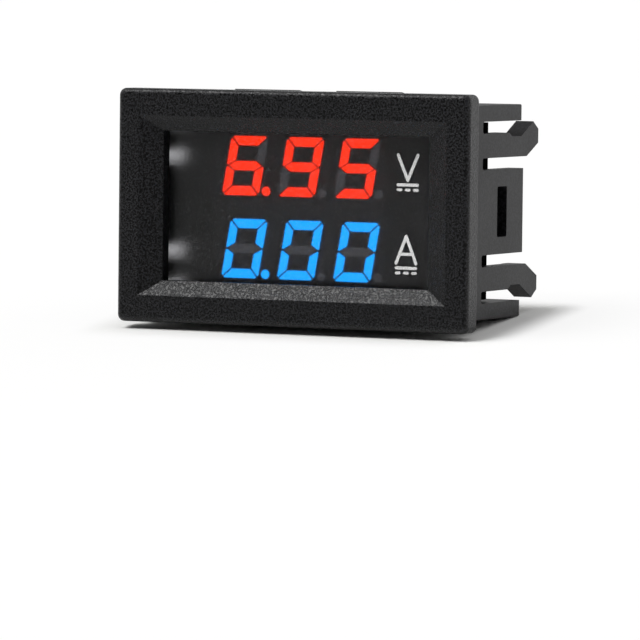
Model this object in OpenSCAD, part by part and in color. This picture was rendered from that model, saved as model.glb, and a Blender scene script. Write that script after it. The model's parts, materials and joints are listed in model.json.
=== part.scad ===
// Three-digit dual readout panel meter for volts and amperes.
// The housing snaps into a rectangular cut-out. +Y points into the panel,
// +Z is up, and the origin is the centre of the bezel's seating face.

/* [Bezel] */
// Width of the bezel
bezel_w = 48; // [46:0.5:56]
// Height of the bezel
bezel_h = 29; // [28:0.5:34]
// Thickness of the bezel in front of the panel
bezel_t = 2.85; // [2.2:0.05:4]
// Corner radius of the bezel's outline
bezel_corner_r = 0.9; // [0.8:0.1:2]
// Radius along the bezel's front edges
bezel_edge_r = 0.7; // [0.3:0.05:0.75]
// Width of the window opening
opening_w = 36.4; // [32:0.2:38]
// Height of the window opening
opening_h = 18.6; // [16:0.2:19.6]
// Run of the bevel at the left and right of the opening
bevel_side_run = 2.86; // [1:0.02:4]
// Run of the bevel above and below the opening
bevel_top_run = 1.86; // [0.8:0.02:3]
// Depth of the bevel
bevel_depth = 1.28; // [0.6:0.02:1.8]

/* [Sleeve] */
// Width of the sleeve that fills the cut-out
sleeve_w = 45.4; // [44:0.1:46]
// Height of the sleeve that fills the cut-out
sleeve_h = 26.2; // [25.6:0.1:27.6]
// Depth of the top and bottom walls behind the bezel
sleeve_d = 15.45; // [14:0.05:20]
// Wall thickness of the sleeve
wall_t = 2; // [1.2:0.1:2.2]
// Corner radius of the sleeve
sleeve_corner_r = 0.2; // [0.1:0.1:1.2]
// Depth of the closed part of the side walls
side_root_d = 4.15; // [2:0.05:6]
// Depth of the middle block of each side wall
side_block_d = 16.15; // [14:0.05:20]

/* [Snap arms] */
// Height of a snap arm
arm_h = 3; // [2:0.1:3.6]
// Height of the gap on each side of a snap arm
arm_gap = 1.45; // [0.8:0.05:2]
// Depth of a snap arm to its tip
arm_d = 20.6; // [19.6:0.1:24]
// Length of an arm's hooked head, from the foot of its catch to its tip
head_len = 5.2; // [4.8:0.1:5.6]
// How far the head's hook rises past the arm's edge
hook_rise = 1.28; // [0.4:0.02:1.4]
// Depth of the relief in front of the hook
relief_depth = 0.5; // [0.2:0.05:0.8]
// Length of the relief in front of the hook
relief_len = 3.6; // [3:0.1:4]
// How far the head is thicker than its arm, on the inner side
head_inset = 0.35; // [0.1:0.05:0.6]
// Length of the ramp up to the thicker part of the head
head_ramp = 1.3; // [0.6:0.1:1.6]
// Height of the head's blunt tip
tip_h = 1.72; // [0.8:0.02:1.9]
// Radius of the corners where the side walls' gaps and slots end
gap_corner_r = 0.3; // [0.1:0.05:0.4]

/* [Spring tongues] */
// Width of a spring tongue
tongue_w = 9; // [5:0.5:12]
// Distance between the centres of the two tongues on a wall
tongue_spacing = 14; // [13:0.5:20]
// Length of a spring tongue
tongue_len = 8; // [5:0.1:9]
// Distance from a tongue's free end to the bezel
tongue_front = 4.65; // [3:0.05:5]
// Thickness of a spring tongue
tongue_t = 1.1; // [0.8:0.1:1.4]
// How far a tongue's free end rises above its wall
tongue_rise = 1.4; // [0.4:0.1:1.8]
// Slit round a spring tongue
tongue_slit = 0.5; // [0.3:0.05:0.8]

/* [Window] */
// Thickness of the smoked window
window_t = 1; // [0.5:0.1:2]
// Play of the window and the board in the sleeve
inner_play = 0.2; // [0.1:0.05:0.4]

/* [Displays] */
// Width of one display module
display_w = 23.1; // [22:0.1:26]
// Height of one display module
display_h = 10.15; // [9:0.05:10.6]
// Depth of one display module
display_d = 7.75; // [6:0.05:9]
// Sideways place of the display modules
display_x = -0.6; // [-3:0.1:2]
// Gap between the two display modules
display_gap = 0.1; // [0.05:0.05:0.3]
// Gap between the window and the display faces
face_gap = 0.1; // [0.05:0.05:0.3]
// Wall thickness of a display shell
shell_wall = 0.9; // [0.6:0.1:1.1]
// Depth of the light shafts in a display's face
shaft_d = 2; // [1:0.1:3]
// Sideways place of the middle digit in its module
digit_shift = 0.3; // [-0.2:0.05:0.5]
// Width of a digit
digit_w = 5.1; // [4:0.1:5.2]
// Height of a digit
digit_h = 7.32; // [6.4:0.02:8]
// Stroke width of a segment
stroke = 1.14; // [0.8:0.02:1.3]
// Slant of the digits
slant_deg = 10; // [0:1:12]
// Gap between neighbouring segments
segment_gap = 0.18; // [0.1:0.02:0.3]
// Trim at the outer corners of a digit
corner_trim = 0.44; // [0.3:0.02:0.6]
// Radius of a decimal point
point_r = 0.56; // [0.4:0.02:0.58]
// Gap between a digit and its decimal point
point_gap = 0.32; // [0.2:0.02:0.36]
// Play of a segment in its light shaft
segment_play = 0.03; // [0.02:0.01:0.05]

/* [Circuit board] */
// Thickness of the circuit board
board_t = 1.6; // [1:0.1:2]
// Width of the slot that holds each end of the board
slot_w = 2.8; // [2.2:0.1:3]
// Height of the slot that holds each end of the board
slot_h = 6.2; // [5:0.1:7]
// Play of the board's end tab in its slot
tab_play = 0.3; // [0.15:0.05:0.5]
// Reach of the board's end tab into the wall
tab_reach = 1.3; // [0.6:0.1:1.8]
// Play of a pin in its board hole
hole_play = 0.1; // [0.05:0.05:0.15]

/* [Leads and solder] */
// Pitch of the display pins
pin_pitch = 2.54; // [2.3:0.02:2.6]
// Distance between a display's two rows of pins
pin_row_spacing = 7.62; // [7.4:0.02:7.7]
// Width of a display pin
pin_w = 0.5; // [0.4:0.05:0.55]
// How far pins stand out past the board
pin_tail = 1.2; // [1:0.1:1.5]
// Radius of a solder joint on a display pin
solder_r = 0.55; // [0.5:0.05:0.6]
// Height of a solder joint
solder_h = 0.7; // [0.5:0.05:0.9]
// Thickness of the chips' leads
lead_t = 0.16; // [0.1:0.02:0.22]

/* [Current header] */
// Pitch of the current header's pins
current_pitch = 3.96; // [3.5:0.02:4.2]
// Width of the current header's pins
current_pin_w = 1.14; // [0.8:0.02:1.2]
// Length of the current header's pins above the board
current_pin_len = 8.4; // [7:0.1:9]
// Width of the current header's base along the pins
current_base_w = 7.9; // [7.6:0.1:8.4]
// Depth of the current header's base across the pins
current_base_d = 8; // [7.6:0.1:8.2]
// Thickness of the current header's base
current_base_t = 1.8; // [1.2:0.1:2.4]
// Height of the current header's locking wall
current_wall_h = 9.2; // [8.8:0.1:9.6]
// Thickness of the current header's locking wall
current_wall_t = 1.2; // [0.8:0.1:1.4]
// Gap between the displays and the current header's solder joints
current_gap = 0.25; // [0.1:0.05:0.5]
// How far the current header's base is centred off its pins
current_base_shift = 0.9; // [0.6:0.1:1.2]

/* [Supply header] */
// Pitch of the supply header's pins
supply_pitch = 2.5; // [2.3:0.02:2.6]
// Width of the supply header's pins
supply_pin_w = 0.64; // [0.5:0.02:0.7]
// Length of the supply header's pins above the board
supply_pin_len = 6; // [4.5:0.1:6.4]
// Width of the supply header's shroud along the pins
supply_shroud_w = 9.9; // [9.4:0.1:10.2]
// Depth of the supply header's shroud across the pins
supply_shroud_d = 5.75; // [5.4:0.05:6]
// Height of the supply header's shroud
supply_shroud_h = 7; // [6.8:0.1:7.6]
// Wall thickness of the supply header's shroud
supply_wall = 0.7; // [0.6:0.05:0.8]
// Floor thickness of the supply header's shroud
supply_floor = 1.6; // [1:0.1:2.2]
// Width of the two key slots in the supply header's shroud
supply_key_w = 1.4; // [1:0.1:1.8]
// Distance from the board's edge to the supply header's pins
supply_edge = 5.5; // [5.2:0.1:5.8]

/* [Trimmers] */
// Width of a trimmer
trimmer_w = 3.2; // [3:0.1:3.6]
// Height of a trimmer along Z
trimmer_h = 3.6; // [3.4:0.1:3.8]
// Thickness of a trimmer's base
trimmer_t = 1.2; // [1:0.05:1.5]
// Radius of a trimmer's rotor
rotor_r = 1.25; // [1:0.05:1.35]
// Depth of the well that the rotor sits in
rotor_well = 0.5; // [0.3:0.05:0.7]
// How far the rotor stands out of its well
rotor_proud = 0.2; // [0.1:0.05:0.4]
// Radius of the rotor's shaft
rotor_shaft_r = 0.45; // [0.3:0.05:0.6]
// Radial running clearance of the rotor
rotor_play = 0.05; // [0.02:0.01:0.09]
// Width of the cross slot in the rotor
driver_slot_w = 0.35; // [0.25:0.05:0.5]
// Distance from the board's right edge to the current trimmer's centre
current_trimmer_edge = 3.9; // [3.5:0.1:4.5]
// Distance from the board's left edge to the voltage trimmer's centre
voltage_trimmer_edge = 5.3; // [4.5:0.1:6]
// Distance from the board's top edge to the trimmers' centres
trimmer_drop = 2.9; // [2.6:0.1:3.1]

/* [Chips] */
// Length of the microcontroller's body
mcu_w = 6.5; // [6.3:0.1:6.6]
// Height of the microcontroller's body
mcu_h = 4.4; // [4.2:0.1:4.6]
// Distance from the displays' centre line to the microcontroller
mcu_offset = 3; // [2.9:0.05:3.1]
// Length of the amplifier's body
amp_w = 4.9; // [4.6:0.1:5]
// Height of the amplifier's body
amp_h = 3.9; // [3.7:0.1:4.1]
// Distance from the displays' centre line to the amplifier
amp_offset = 4.1; // [4:0.05:4.2]
// Span of the chips' leads from tip to tip
lead_span = 6.1; // [5.8:0.05:6.2]
// Length of the regulator's body
reg_w = 4.5; // [4.2:0.1:4.7]
// Height of the regulator's body
reg_h = 2.5; // [2.3:0.1:2.7]
// Distance from the displays' centre line to the regulator
reg_offset = 3.2; // [3:0.1:3.4]
// Length of the diode's body
diode_w = 4.3; // [4:0.1:4.5]
// Height of the diode's body
diode_h = 2.6; // [2.4:0.1:2.8]
// Distance from the displays' centre line to the diode
diode_offset = 3.8; // [3.6:0.1:3.9]

/* [Shunt] */
// Radius of the shunt wire
shunt_r = 0.7; // [0.5:0.05:0.8]
// Distance between the shunt wire's legs
shunt_span = 5; // [4.6:0.1:5.4]
// Distance from the board's right edge to the shunt wire
shunt_edge = 2.6; // [2.4:0.1:2.8]
// Distance from the board's bottom edge to the shunt wire's lower leg
shunt_foot = 2.4; // [2.2:0.1:2.8]

/* [Hidden] */
$fn = 48;

// Overlap of a cutting shape past the surface it cuts
cut = 0.5;

// Inside of the sleeve
inner_w = sleeve_w - 2 * wall_t;
inner_h = sleeve_h - 2 * wall_t;

// Distance from an arm's tip back to the crest of its hook
hook_back = 1.55;

// Heights of the snap arms and of the side walls' middle block
arm_top = inner_h / 2 - arm_gap;
arm_bottom = arm_top - arm_h;
block_half_h = arm_bottom - arm_gap;

// The stack from the window to the board, along Y
display_face = window_t + face_gap;
board_front = display_face + display_d;
board_rear = board_front + board_t;
board_w = inner_w - 2 * inner_play;
board_h = inner_h - 2 * inner_play;
slot_front = board_front - (slot_w - board_t) / 4;
tab_h = slot_h - 2 * tab_play;
display_z = (display_h + display_gap) / 2;
digit_pitch = display_w / 3;

// What each digit of the two readouts shows, left to right
voltage_digits = ["ACDEFG", "ABCDFG", "ACDFG"];
current_digits = ["ABCDEF", "ABCDEF", "ABCDEF"];
point_digit = 0;
segment_names = "ABCDEFG";

// Places of the display pins, in one module
pin_columns = [for (i = [0:5]) (i - 2.5) * pin_pitch];
pin_rows = [-pin_row_spacing / 2, pin_row_spacing / 2];
pin_root = 2;

// Radii of the header's and the shunt wire's solder joints
supply_solder_r = 1;
current_solder_r = 1.2;

// Places of the parts on the board, along X and Z
current_x = display_x + display_w / 2 + current_gap + current_solder_r;
current_base_x = current_x - current_base_shift;
supply_x = supply_edge - board_w / 2;
current_trimmer_x = board_w / 2 - current_trimmer_edge;
voltage_trimmer_x = voltage_trimmer_edge - board_w / 2;
trimmer_z = board_h / 2 - trimmer_drop;
mcu_x = display_x - mcu_offset;
amp_x = display_x + amp_offset;
reg_x = display_x - reg_offset;
diode_x = display_x + diode_offset;
shunt_x = board_w / 2 - shunt_edge;
shunt_low_z = shunt_foot - board_h / 2;

// Lead counts and pitches of the two chips with gull-wing leads
mcu_leads_a_side = 10;
mcu_lead_pitch = 0.65;
mcu_lead_w = 0.24;
amp_leads_a_side = 4;
amp_lead_pitch = 1.27;
amp_lead_w = 0.42;
mcu_t = 1;
amp_t = 1.45;
chip_standoff = 0.1;
lead_foot = 0.5;

// Regulator and diode details
reg_t = 1.5;
reg_lead_pitch = 1.5;
reg_lead_w = 0.45;
reg_lead_len = 0.9;
reg_tab_w = 1.7;
reg_tab_len = 0.6;
reg_lead_t = 0.4;
diode_t = 2.1;
diode_lead_w = 1.4;
diode_lead_len = 0.45;
diode_lead_t = 0.3;

// Small chip parts: centres as [x, z], upright on the board
capacitor_size = [1.25, 2, 1.2];
capacitor_end = 0.4;
strip_drop = 3.4;
left_strip_x = (supply_x + supply_shroud_d / 2 + display_x - 2.5 * pin_pitch - solder_r) / 2;
right_strip_x = current_base_x - current_base_d / 4;
strip_z = board_h / 2 - strip_drop;
capacitor_spots = [
    [left_strip_x, display_z], [left_strip_x, -display_z], [left_strip_x - 1.8, -strip_z - 0.6],
    [right_strip_x, strip_z], [right_strip_x, -strip_z]
];
resistor_size = [0.8, 1.6, 0.45];
resistor_end = 0.3;
resistor_step = 1.6;
resistor_spots = concat(
    [for (i = [0:3]) [1.9 + i * resistor_step - board_w / 2, -strip_z]],
    [for (i = [0:1]) [right_strip_x + 1.7 + i * resistor_step, strip_z]],
    [[shunt_x, 3.2]]
);

// Header details
current_pin_tip = 0.5;
current_lip_h = 1;
current_lip_reach = 0.6;
supply_pin_tip = 0.3;
supply_key_inset = 1.2;
supply_key_drop = 4;

// Shape helpers. on_rear() puts local Z along +Y, with local Y pointing down.
module on_rear(x, z) {
    translate([x, board_rear, z]) rotate([-90, 0, 0]) children();
}

// Extrudes an outline drawn in X and Z towards the front, from y to y - d
module to_front(y, d) {
    translate([0, y, 0]) rotate([90, 0, 0]) linear_extrude(d) children();
}

// Extrudes an outline drawn in Y and Z along +X, from x to x + d
module along_x(x, d) {
    translate([x, 0, 0]) rotate([90, 0, 90]) linear_extrude(d) children();
}

// A box given by its centre in X and Z and its range in Y
module slab(x, z, w, h, y0, y1) {
    translate([x - w / 2, y0, z - h / 2]) cube([w, y1 - y0, h]);
}

module mirrored_x() {
    children();
    mirror([1, 0, 0]) children();
}

module mirrored_y_2d() {
    children();
    mirror([0, 1]) children();
}

module mirrored_z() {
    children();
    mirror([0, 0, 1]) children();
}

module rounded_rect(w, h, r) {
    square([w - 2 * r, h], center = true);
    square([w, h - 2 * r], center = true);
    for (sx = [-1, 1], sz = [-1, 1]) {
        translate([sx * (w / 2 - r), sz * (h / 2 - r)]) circle(r);
    }
}

// A corner between two walls, filled to a radius: s is the side in Z that it fills
module corner_fillet(y, z, s, r) {
    translate([y, z]) difference() {
        translate([-cut, min(0, s * r)]) square([r + cut, r]);
        translate([r, s * r]) circle(r);
    }
}

// ---- Housing ----

// Section of the bezel's front layer beyond its core, with the front edge rounded
module edge_section(reach) {
    square([reach - bezel_edge_r, bezel_edge_r]);
    intersection() {
        translate([reach - bezel_edge_r, 0]) circle(bezel_edge_r);
        square([reach, bezel_edge_r]);
    }
}

// The bezel without its opening. The front layer is one core, four rounded bars
// and four turned corners, so that the rounding runs on smoothly.
module bezel_blank() {
    layer_y = bezel_edge_r - bezel_t;
    core_w = bezel_w - 2 * bezel_corner_r;
    core_h = bezel_h - 2 * bezel_corner_r;
    to_front(0, bezel_t - bezel_edge_r) rounded_rect(bezel_w, bezel_h, bezel_corner_r);
    slab(0, 0, core_w, core_h, -bezel_t, layer_y);
    mirrored_x() translate([core_w / 2, layer_y, -core_h / 2]) linear_extrude(core_h) {
        mirror([0, 1]) edge_section(bezel_corner_r);
    }
    mirrored_z() translate([-core_w / 2, layer_y, core_h / 2]) {
        rotate([90, 0, 90]) linear_extrude(core_w) {
            rotate(90) edge_section(bezel_corner_r);
        }
    }
    for (sx = [-1, 1], sz = [-1, 1]) {
        translate([sx * core_w / 2, layer_y, sz * core_h / 2]) rotate([90, 0, 0]) {
            rotate_extrude() edge_section(bezel_corner_r);
        }
    }
}

// Section of the bevelled opening: wide at the front, narrow at the bevel's end
module bevel_section(half_opening, run) {
    slope = run / bevel_depth;
    front = -bezel_t - cut;
    back = -bezel_t + bevel_depth;
    wide = half_opening + slope * (bevel_depth + cut);
    polygon([[-wide, front], [wide, front], [half_opening, back], [-half_opening, back]]);
}

module bevel_cut() {
    intersection() {
        translate([0, 0, -bezel_h / 2]) linear_extrude(bezel_h) {
            bevel_section(opening_w / 2, bevel_side_run);
        }
        along_x(-bezel_w / 2, bezel_w) {
            rotate(90) mirror([0, 1]) bevel_section(opening_h / 2, bevel_top_run);
        }
    }
}

module sleeve_blank() {
    difference() {
        to_front(sleeve_d, sleeve_d) difference() {
            rounded_rect(sleeve_w, sleeve_h, sleeve_corner_r);
            square([inner_w, inner_h], center = true);
        }
        mirrored_x() slab(sleeve_w / 2 - wall_t / 2, 0, wall_t + cut, inner_h,
            side_root_d, sleeve_d + cut);
    }
}

module side_block() {
    inside = sleeve_w / 2 - wall_t;
    difference() {
        slab(sleeve_w / 2 - wall_t / 2, 0, wall_t, 2 * block_half_h, side_root_d, side_block_d);
        along_x(inside - cut, wall_t + 2 * cut) translate([slot_front + slot_w / 2, 0]) {
            rounded_rect(slot_w, slot_h, gap_corner_r);
        }
    }
    along_x(inside, wall_t) mirrored_y_2d() {
        corner_fillet(side_root_d, block_half_h, 1, gap_corner_r);
        corner_fillet(side_root_d, arm_bottom, -1, gap_corner_r);
        corner_fillet(side_root_d, arm_top, 1, gap_corner_r);
        corner_fillet(side_root_d, inner_h / 2, -1, gap_corner_r);
    }
}

// Outline of an arm's hooked head in Y and Z, with the relief in front of its hook
module head_outline() {
    foot_y = arm_d - head_len;
    relief_y = foot_y - relief_len;
    tip_top = arm_top + hook_rise * 0.25;
    tip_bottom = tip_top - tip_h;
    heel_y = arm_d - (tip_bottom - arm_bottom) * 2.15;
    polygon([
        [relief_y, arm_top],
        [relief_y + 2 * relief_depth, arm_top - relief_depth],
        [foot_y, arm_top - relief_depth],
        [arm_d - hook_back, arm_top + hook_rise],
        [arm_d, tip_top],
        [arm_d, tip_bottom],
        [heel_y, arm_bottom],
        [relief_y, arm_bottom]
    ]);
}

// Plan of the head: flush with the sleeve outside, thicker than the arm inside
module head_plan() {
    outside = sleeve_w / 2;
    relief_y = arm_d - head_len - relief_len;
    ramp_start = arm_d - head_len - head_ramp;
    polygon([
        [outside, relief_y],
        [outside, arm_d],
        [outside - wall_t - head_inset, arm_d],
        [outside - wall_t - head_inset, ramp_start + head_ramp],
        [outside - wall_t, ramp_start],
        [outside - wall_t, relief_y]
    ]);
}

module snap_arm() {
    relief_y = arm_d - head_len - relief_len;
    slab(sleeve_w / 2 - wall_t / 2, (arm_top + arm_bottom) / 2, wall_t, arm_h,
        side_root_d, relief_y);
    intersection() {
        along_x(sleeve_w / 2 - wall_t - head_inset, wall_t + head_inset) head_outline();
        linear_extrude(bezel_h) head_plan();
    }
}

// Section of a spring tongue in Y and Z: it rises from its root to its free end
module tongue_section() {
    root_y = tongue_front + tongue_len;
    outside = sleeve_h / 2;
    angle = atan(tongue_rise / tongue_len);
    drop = tongue_t / cos(angle);
    polygon([
        [tongue_front, outside + tongue_rise],
        [tongue_front, outside + tongue_rise - drop],
        [root_y, outside - drop],
        [root_y + cut, outside - drop],
        [root_y + cut, outside],
        [root_y, outside]
    ]);
}

module tongue_windows() {
    for (s = [-1, 1]) {
        slab(s * tongue_spacing / 2, sleeve_h / 2 - wall_t / 2, tongue_w + 2 * tongue_slit,
            wall_t + 2 * cut, tongue_front - tongue_slit, tongue_front + tongue_len);
    }
}

module tongues() {
    for (s = [-1, 1]) {
        along_x(s * tongue_spacing / 2 - tongue_w / 2, tongue_w) tongue_section();
    }
}

module housing() {
    color("#1c1c1e") {
        difference() {
            bezel_blank();
            bevel_cut();
            slab(0, 0, opening_w, opening_h, -bezel_t, cut);
        }
        difference() {
            sleeve_blank();
            mirrored_z() tongue_windows();
        }
        mirrored_z() tongues();
        mirrored_x() side_block();
        mirrored_x() mirrored_z() snap_arm();
    }
}

module window() {
    color("#2a2a2d") slab(0, 0, inner_w - 2 * inner_play, inner_h - 2 * inner_play, 0, window_t);
}

// ---- Displays ----

// Moves a point of a digit sideways in step with its height
function leaned(p) = [p[0] + p[1] * tan(slant_deg), p[1]];

// Half of the gap between two segments, measured along X or Z at their mitred ends
mitre = segment_gap / sqrt(2);

function bar_points(a, b) = [
    [-a + corner_trim, b], [a - corner_trim, b],
    [a - (corner_trim + mitre) / 2, b - (corner_trim - mitre) / 2],
    [a - stroke - mitre, b - stroke], [-a + stroke + mitre, b - stroke],
    [-a + (corner_trim + mitre) / 2, b - (corner_trim - mitre) / 2]
];

function post_points(a, b) = [
    [a, b - corner_trim], [a - (corner_trim - mitre) / 2, b - (corner_trim + mitre) / 2],
    [a - stroke, b - stroke - mitre], [a - stroke, stroke / 2 + mitre],
    [a - segment_gap, mitre * 0.8], [a, mitre * 1.4]
];

function middle_points(a) = [
    [-a + stroke * 0.28, 0], [-a + stroke + mitre * 0.3, stroke / 2],
    [a - stroke - mitre * 0.3, stroke / 2], [a - stroke * 0.28, 0],
    [a - stroke - mitre * 0.3, -stroke / 2], [-a + stroke + mitre * 0.3, -stroke / 2]
];

function flipped(points, sx, sz) = [for (p = points) [p[0] * sx, p[1] * sz]];

// Outline of one segment, A to G, about the centre of its digit
function segment_points(name) =
    let (a = digit_w / 2, b = digit_h / 2)
    name == "A" ? bar_points(a, b)
    : name == "D" ? flipped(bar_points(a, b), 1, -1)
    : name == "B" ? post_points(a, b)
    : name == "C" ? flipped(post_points(a, b), 1, -1)
    : name == "F" ? flipped(post_points(a, b), -1, 1)
    : name == "E" ? flipped(post_points(a, b), -1, -1)
    : middle_points(a);

function digit_x(i) = display_x + digit_shift + (i - 1) * digit_pitch;

module segment_outline(name) {
    polygon([for (p = segment_points(name)) leaned(p)]);
}

module point_outline(play) {
    place = [digit_w / 2 + point_r + point_gap, point_r - digit_h / 2];
    translate(leaned(place)) circle(point_r + play);
}

// Light shafts for every segment and point of one module
module shaft_cuts(z) {
    grow = segment_play;
    for (i = [0:2]) translate([digit_x(i), 0, z]) {
        to_front(display_face + shaft_d + cut, shaft_d + 2 * cut) {
            for (name = segment_names) segment_outline(name);
            point_outline(grow);
        }
    }
}

module display_shell(z) {
    color("#18181a") difference() {
        slab(display_x, z, display_w, display_h, display_face, board_front);
        slab(display_x, z, display_w - 2 * shell_wall, display_h - 2 * shell_wall,
            display_face + shaft_d, board_front + cut);
        shaft_cuts(z);
    }
}

module display_pins(z) {
    color("#c9cacb") for (x = pin_columns, row = pin_rows) {
        slab(display_x + x, z + row, pin_w, pin_w, board_front - pin_root, board_rear + pin_tail);
    }
}

module display_potting(z) {
    color("#3a3a38") difference() {
        slab(display_x, z, display_w - 2 * shell_wall, display_h - 2 * shell_wall,
            display_face + shaft_d, board_front);
        for (x = pin_columns, row = pin_rows) {
            slab(display_x + x, z + row, pin_w, pin_w, board_front - pin_root, board_front + cut);
        }
    }
}

function shows(text, name) = len(search(name, text)) > 0;

// The segments of one readout that are lit, or those that aren't
module segments(z, digits, lit) {
    for (i = [0:2]) translate([digit_x(i), 0, z]) {
        for (name = segment_names) {
            if (shows(digits[i], name) == lit) {
                to_front(display_face + shaft_d, shaft_d) segment_outline(name);
            }
        }
        if ((i == point_digit) == lit) {
            to_front(display_face + shaft_d, shaft_d) point_outline(0);
        }
    }
}

module voltage_display_shell() { display_shell(display_z); }
module voltage_display_potting() { display_potting(display_z); }
module voltage_display_pins() { display_pins(display_z); }
module voltage_segments_lit() { color("#ff3200") segments(display_z, voltage_digits, true); }
module voltage_segments_dark() { color("#3c3c3e") segments(display_z, voltage_digits, false); }
module current_display_shell() { display_shell(-display_z); }
module current_display_potting() { display_potting(-display_z); }
module current_display_pins() { display_pins(-display_z); }
module current_segments_lit() { color("#08a8ff") segments(-display_z, current_digits, true); }
module current_segments_dark() { color("#3c3c3e") segments(-display_z, current_digits, false); }

// ---- Circuit board ----

function hole_r(w) = w / sqrt(2) + hole_play;

function current_pin_spots() = [for (s = [-1, 1]) [current_x, s * current_pitch / 2]];
function supply_pin_spots() = [for (i = [-1:1]) [supply_x, i * supply_pitch]];
function shunt_spots() = [for (i = [0, 1]) [shunt_x, shunt_low_z + i * shunt_span]];

module board_hole(spot, r) {
    translate([spot[0], board_front - cut, spot[1]]) rotate([-90, 0, 0]) {
        cylinder(r = r, h = board_t + 2 * cut);
    }
}

module circuit_board() {
    color("#1c201e") difference() {
        union() {
            slab(0, 0, board_w, board_h, board_front, board_rear);
            slab(0, 0, inner_w + 2 * tab_reach, tab_h, board_front, board_rear);
        }
        for (x = pin_columns, row = pin_rows, z = [-display_z, display_z]) {
            board_hole([display_x + x, z + row], hole_r(pin_w));
        }
        for (spot = current_pin_spots()) board_hole(spot, hole_r(current_pin_w));
        for (spot = supply_pin_spots()) board_hole(spot, hole_r(supply_pin_w));
        for (spot = shunt_spots()) board_hole(spot, shunt_r + hole_play);
    }
}

// A solder cone on the board's rear, or on its front, round a square pin
module solder_cone(spot, r, pin, front) {
    face = front ? board_front : board_rear;
    turn = front ? 90 : -90;
    difference() {
        translate([spot[0], face, spot[1]]) rotate([turn, 0, 0]) {
            cylinder(r1 = r, r2 = pin * 0.75 + 0.02, h = solder_h);
        }
        slab(spot[0], spot[1], pin, pin, face - 2, face + 2);
    }
}

// A solder cone on the board's front round a leg of the shunt wire
module shunt_solder(spot) {
    translate([spot[0], board_front, spot[1]]) rotate([90, 0, 0]) difference() {
        cylinder(r1 = current_solder_r, r2 = shunt_r + 0.15, h = solder_h);
        translate([0, 0, -cut]) cylinder(r = shunt_r + 0.02, h = solder_h + 2 * cut);
    }
}

module solder_joints() {
    color("#b9bbbd") {
        for (x = pin_columns, row = pin_rows, z = [-display_z, display_z]) {
            solder_cone([display_x + x, z + row], solder_r, pin_w, false);
        }
        for (spot = current_pin_spots()) solder_cone(spot, current_solder_r, current_pin_w, true);
        for (spot = supply_pin_spots()) solder_cone(spot, supply_solder_r, supply_pin_w, true);
        for (spot = shunt_spots()) shunt_solder(spot);
    }
}

// ---- Chips ----

module chip_body(w, h, t) {
    translate([-w / 2, -h / 2, chip_standoff]) cube([w, h, t]);
}

// One gull-wing lead in local Y and Z, from the chip's side down to the board
module gull_lead(body_h, body_t, w) {
    start = body_h / 2;
    tip = lead_span / 2;
    bend = tip - lead_foot;
    mid = chip_standoff + body_t / 2;
    translate([-w / 2, 0, 0]) rotate([90, 0, 90]) linear_extrude(w) polygon([
        [start, mid], [bend - lead_t, mid], [bend - lead_t, 0], [tip, 0],
        [tip, lead_t], [bend, lead_t], [bend, mid + lead_t], [start, mid + lead_t]
    ]);
}

module lead_rows(count, pitch, body_h, body_t, w) {
    for (i = [0:count - 1], turn = [0, 180]) {
        translate([(i - (count - 1) / 2) * pitch, 0, 0]) rotate([0, 0, turn]) {
            gull_lead(body_h, body_t, w);
        }
    }
}

module microcontroller_body() {
    color("#222224") on_rear(mcu_x, display_z) chip_body(mcu_w, mcu_h, mcu_t);
}

module microcontroller_leads() {
    color("#c9cacb") on_rear(mcu_x, display_z) {
        lead_rows(mcu_leads_a_side, mcu_lead_pitch, mcu_h, mcu_t, mcu_lead_w);
    }
}

module amplifier_body() {
    color("#222224") on_rear(amp_x, display_z) chip_body(amp_w, amp_h, amp_t);
}

module amplifier_leads() {
    color("#c9cacb") on_rear(amp_x, display_z) {
        lead_rows(amp_leads_a_side, amp_lead_pitch, amp_h, amp_t, amp_lead_w);
    }
}

module regulator_body() {
    color("#222224") on_rear(reg_x, -display_z) {
        translate([-reg_w / 2, -reg_h / 2, 0]) cube([reg_w, reg_h, reg_t]);
    }
}

module regulator_leads() {
    color("#c9cacb") on_rear(reg_x, -display_z) {
        for (i = [-1:1]) translate([i * reg_lead_pitch - reg_lead_w / 2, reg_h / 2, 0]) {
            cube([reg_lead_w, reg_lead_len, reg_lead_t]);
        }
        translate([-reg_tab_w / 2, -reg_h / 2 - reg_tab_len, 0]) {
            cube([reg_tab_w, reg_tab_len, reg_lead_t]);
        }
    }
}

module protection_diode_body() {
    color("#222224") on_rear(diode_x, -display_z) {
        translate([-diode_w / 2, -diode_h / 2, 0]) cube([diode_w, diode_h, diode_t]);
    }
}

module protection_diode_leads() {
    color("#c9cacb") on_rear(diode_x, -display_z) mirrored_x() {
        translate([diode_w / 2, -diode_lead_w / 2, 0]) {
            cube([diode_lead_len, diode_lead_w, diode_lead_t]);
        }
    }
}

// The middle of a small chip part, or its two metal ends
module chip_middle(spots, size, end) {
    for (spot = spots) on_rear(spot[0], spot[1]) {
        translate([-size[0] / 2, -size[1] / 2 + end, 0]) cube([size[0], size[1] - 2 * end, size[2]]);
    }
}

module chip_ends(spots, size, end) {
    for (spot = spots, s = [0, 1]) on_rear(spot[0], spot[1]) {
        translate([-size[0] / 2, s ? size[1] / 2 - end : -size[1] / 2, 0]) {
            cube([size[0], end, size[2]]);
        }
    }
}

module chip_capacitors() {
    color("#a58a63") chip_middle(capacitor_spots, capacitor_size, capacitor_end);
}

module chip_capacitor_ends() {
    color("#c9cacb") chip_ends(capacitor_spots, capacitor_size, capacitor_end);
}

module chip_resistors() {
    color("#1a1a1c") chip_middle(resistor_spots, resistor_size, resistor_end);
}

module chip_resistor_ends() {
    color("#c9cacb") chip_ends(resistor_spots, resistor_size, resistor_end);
}

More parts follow.
